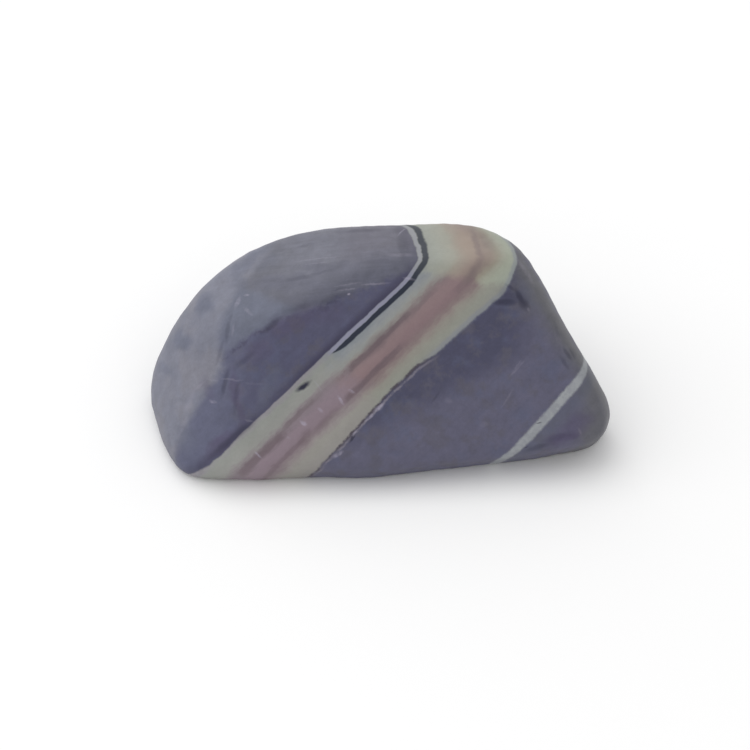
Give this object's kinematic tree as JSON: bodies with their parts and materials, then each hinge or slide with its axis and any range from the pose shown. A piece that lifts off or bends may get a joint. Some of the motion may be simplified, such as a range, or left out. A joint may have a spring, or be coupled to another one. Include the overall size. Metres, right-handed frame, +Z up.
{
  "type": "river pebble",
  "caption": "Long, low river pebble of violet-grey stone with worn facets and a slanting cream and pink band, resting on a flat underside.",
  "frame": {"origin": "middle of the stone's box, on the flat underside that it rests on", "axes": "+Z up, +X along the length to the right, -Y towards the sloping front face"},
  "size_m": [0.0602, 0.0324, 0.0229],
  "materials": {
    "stone": "matte, faintly waxy, water-worn violet-grey with a cream and pink band"
  },
  "bodies": {
    "root": {"pebble": "stone"}
  },
  "joints": []
}
